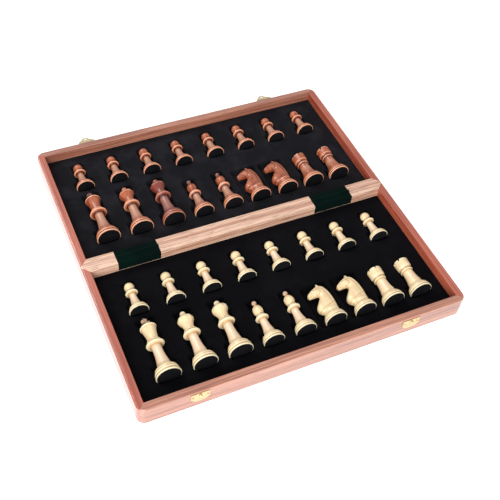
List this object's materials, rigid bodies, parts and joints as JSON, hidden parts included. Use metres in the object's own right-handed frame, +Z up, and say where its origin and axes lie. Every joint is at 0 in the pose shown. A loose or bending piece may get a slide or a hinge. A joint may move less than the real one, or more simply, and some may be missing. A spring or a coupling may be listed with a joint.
{
  "type": "chess box with hinged lid",
  "caption": "Folding wooden chess box lying open flat: hinged base and lid with a board outside, lined trays inside, chessmen lying in their recesses.",
  "frame": {"origin": "on the ground under the middle of the hinge line, box lying open flat", "axes": "+X along the hinge to the right, +Y from the base half to the lid half, +Z up"},
  "size_m": [0.381, 0.3983, 0.0314],
  "materials": {
    "red_rosewood": "satin lacquer",
    "pink_rosewood": "satin lacquer",
    "maple": "satin lacquer",
    "dark_veneer": "satin lacquer",
    "black_velvet": "matte",
    "green_velvet": "matte",
    "brass": "polished",
    "pin_steel": "satin",
    "boxwood": "satin wax",
    "dark_rosewood": "satin wax"
  },
  "bodies": {
    "base": {"base_front_rail": "pink_rosewood", "base_left_rail": "red_rosewood", "base_right_rail": "red_rosewood", "base_hinge_rail": "pink_rosewood", "base_panel": "maple", "base_dark_squares": "dark_veneer", "base_tray": "black_velvet", "base_hinge_leaves": "brass", "hinge_pins": "pin_steel", "base_velvet_patches": "green_velvet", "strike_plates": "brass", "base_fixings": "brass"},
    "lid": {"lid_rear_rail": "pink_rosewood", "lid_left_rail": "red_rosewood", "lid_right_rail": "red_rosewood", "lid_hinge_rail": "pink_rosewood", "lid_panel": "maple", "lid_dark_squares": "dark_veneer", "lid_tray": "black_velvet", "lid_hinge_leaves": "brass", "lid_velvet_patches": "green_velvet", "hasp_plates": "brass", "clasp_pins": "pin_steel", "lid_fixings": "brass"},
    "left_flap": {"left_flap": "brass"},
    "right_flap": {"right_flap": "brass"},
    "light_king": {"light_king": "boxwood"},
    "light_queen_1": {"light_queen_1": "boxwood"},
    "light_queen_2": {"light_queen_2": "boxwood"},
    "light_bishop_1": {"light_bishop_1": "boxwood"},
    "light_bishop_2": {"light_bishop_2": "boxwood"},
    "light_knight_1": {"light_knight_1": "boxwood"},
    "light_knight_2": {"light_knight_2": "boxwood"},
    "light_rook_1": {"light_rook_1": "boxwood"},
    "light_rook_2": {"light_rook_2": "boxwood"},
    "light_pawn_1": {"light_pawn_1": "boxwood"},
    "light_pawn_2": {"light_pawn_2": "boxwood"},
    "light_pawn_3": {"light_pawn_3": "boxwood"},
    "light_pawn_4": {"light_pawn_4": "boxwood"},
    "light_pawn_5": {"light_pawn_5": "boxwood"},
    "light_pawn_6": {"light_pawn_6": "boxwood"},
    "light_pawn_7": {"light_pawn_7": "boxwood"},
    "light_pawn_8": {"light_pawn_8": "boxwood"},
    "dark_king": {"dark_king": "dark_rosewood"},
    "dark_queen_1": {"dark_queen_1": "dark_rosewood"},
    "dark_queen_2": {"dark_queen_2": "dark_rosewood"},
    "dark_bishop_1": {"dark_bishop_1": "dark_rosewood"},
    "dark_bishop_2": {"dark_bishop_2": "dark_rosewood"},
    "dark_knight_1": {"dark_knight_1": "dark_rosewood"},
    "dark_knight_2": {"dark_knight_2": "dark_rosewood"},
    "dark_rook_1": {"dark_rook_1": "dark_rosewood"},
    "dark_rook_2": {"dark_rook_2": "dark_rosewood"},
    "dark_pawn_1": {"dark_pawn_1": "dark_rosewood"},
    "dark_pawn_2": {"dark_pawn_2": "dark_rosewood"},
    "dark_pawn_3": {"dark_pawn_3": "dark_rosewood"},
    "dark_pawn_4": {"dark_pawn_4": "dark_rosewood"},
    "dark_pawn_5": {"dark_pawn_5": "dark_rosewood"},
    "dark_pawn_6": {"dark_pawn_6": "dark_rosewood"},
    "dark_pawn_7": {"dark_pawn_7": "dark_rosewood"},
    "dark_pawn_8": {"dark_pawn_8": "dark_rosewood"}
  },
  "joints": [
    {"name": "lid_hinge", "type": "hinge", "parent": "base", "child": "lid", "pos_m": [0, 0, 0.0267], "axis": [-1, 0, 0], "range_deg": [-179.9, 0]},
    {"name": "left_flap_hinge", "type": "hinge", "parent": "lid", "child": "left_flap", "pos_m": [-0.1255, 0.1921, 0.0241], "axis": [-1, 0, 0], "range_deg": [-110, 50]},
    {"name": "right_flap_hinge", "type": "hinge", "parent": "lid", "child": "right_flap", "pos_m": [0.1195, 0.1921, 0.0241], "axis": [-1, 0, 0], "range_deg": [-110, 50]},
    {"name": "light_king_lift", "type": "slide", "parent": "base", "child": "light_king", "axis": [0, 0, 1], "range_m": [0, 0.03]},
    {"name": "light_queen_1_lift", "type": "slide", "parent": "base", "child": "light_queen_1", "axis": [0, 0, 1], "range_m": [0, 0.03]},
    {"name": "light_queen_2_lift", "type": "slide", "parent": "base", "child": "light_queen_2", "axis": [0, 0, 1], "range_m": [0, 0.03]},
    {"name": "light_bishop_1_lift", "type": "slide", "parent": "base", "child": "light_bishop_1", "axis": [0, 0, 1], "range_m": [0, 0.03]},
    {"name": "light_bishop_2_lift", "type": "slide", "parent": "base", "child": "light_bishop_2", "axis": [0, 0, 1], "range_m": [0, 0.03]},
    {"name": "light_knight_1_lift", "type": "slide", "parent": "base", "child": "light_knight_1", "axis": [0, 0, 1], "range_m": [0, 0.03]},
    {"name": "light_knight_2_lift", "type": "slide", "parent": "base", "child": "light_knight_2", "axis": [0, 0, 1], "range_m": [0, 0.03]},
    {"name": "light_rook_1_lift", "type": "slide", "parent": "base", "child": "light_rook_1", "axis": [0, 0, 1], "range_m": [0, 0.03]},
    {"name": "light_rook_2_lift", "type": "slide", "parent": "base", "child": "light_rook_2", "axis": [0, 0, 1], "range_m": [0, 0.03]},
    {"name": "light_pawn_1_lift", "type": "slide", "parent": "base", "child": "light_pawn_1", "axis": [0, 0, 1], "range_m": [0, 0.03]},
    {"name": "light_pawn_2_lift", "type": "slide", "parent": "base", "child": "light_pawn_2", "axis": [0, 0, 1], "range_m": [0, 0.03]},
    {"name": "light_pawn_3_lift", "type": "slide", "parent": "base", "child": "light_pawn_3", "axis": [0, 0, 1], "range_m": [0, 0.03]},
    {"name": "light_pawn_4_lift", "type": "slide", "parent": "base", "child": "light_pawn_4", "axis": [0, 0, 1], "range_m": [0, 0.03]},
    {"name": "light_pawn_5_lift", "type": "slide", "parent": "base", "child": "light_pawn_5", "axis": [0, 0, 1], "range_m": [0, 0.03]},
    {"name": "light_pawn_6_lift", "type": "slide", "parent": "base", "child": "light_pawn_6", "axis": [0, 0, 1], "range_m": [0, 0.03]},
    {"name": "light_pawn_7_lift", "type": "slide", "parent": "base", "child": "light_pawn_7", "axis": [0, 0, 1], "range_m": [0, 0.03]},
    {"name": "light_pawn_8_lift", "type": "slide", "parent": "base", "child": "light_pawn_8", "axis": [0, 0, 1], "range_m": [0, 0.03]},
    {"name": "dark_king_lift", "type": "slide", "parent": "lid", "child": "dark_king", "axis": [0, 0, 1], "range_m": [0, 0.03]},
    {"name": "dark_queen_1_lift", "type": "slide", "parent": "lid", "child": "dark_queen_1", "axis": [0, 0, 1], "range_m": [0, 0.03]},
    {"name": "dark_queen_2_lift", "type": "slide", "parent": "lid", "child": "dark_queen_2", "axis": [0, 0, 1], "range_m": [0, 0.03]},
    {"name": "dark_bishop_1_lift", "type": "slide", "parent": "lid", "child": "dark_bishop_1", "axis": [0, 0, 1], "range_m": [0, 0.03]},
    {"name": "dark_bishop_2_lift", "type": "slide", "parent": "lid", "child": "dark_bishop_2", "axis": [0, 0, 1], "range_m": [0, 0.03]},
    {"name": "dark_knight_1_lift", "type": "slide", "parent": "lid", "child": "dark_knight_1", "axis": [0, 0, 1], "range_m": [0, 0.03]},
    {"name": "dark_knight_2_lift", "type": "slide", "parent": "lid", "child": "dark_knight_2", "axis": [0, 0, 1], "range_m": [0, 0.03]},
    {"name": "dark_rook_1_lift", "type": "slide", "parent": "lid", "child": "dark_rook_1", "axis": [0, 0, 1], "range_m": [0, 0.03]},
    {"name": "dark_rook_2_lift", "type": "slide", "parent": "lid", "child": "dark_rook_2", "axis": [0, 0, 1], "range_m": [0, 0.03]},
    {"name": "dark_pawn_1_lift", "type": "slide", "parent": "lid", "child": "dark_pawn_1", "axis": [0, 0, 1], "range_m": [0, 0.03]},
    {"name": "dark_pawn_2_lift", "type": "slide", "parent": "lid", "child": "dark_pawn_2", "axis": [0, 0, 1], "range_m": [0, 0.03]},
    {"name": "dark_pawn_3_lift", "type": "slide", "parent": "lid", "child": "dark_pawn_3", "axis": [0, 0, 1], "range_m": [0, 0.03]},
    {"name": "dark_pawn_4_lift", "type": "slide", "parent": "lid", "child": "dark_pawn_4", "axis": [0, 0, 1], "range_m": [0, 0.03]},
    {"name": "dark_pawn_5_lift", "type": "slide", "parent": "lid", "child": "dark_pawn_5", "axis": [0, 0, 1], "range_m": [0, 0.03]},
    {"name": "dark_pawn_6_lift", "type": "slide", "parent": "lid", "child": "dark_pawn_6", "axis": [0, 0, 1], "range_m": [0, 0.03]},
    {"name": "dark_pawn_7_lift", "type": "slide", "parent": "lid", "child": "dark_pawn_7", "axis": [0, 0, 1], "range_m": [0, 0.03]},
    {"name": "dark_pawn_8_lift", "type": "slide", "parent": "lid", "child": "dark_pawn_8", "axis": [0, 0, 1], "range_m": [0, 0.03]}
  ]
}
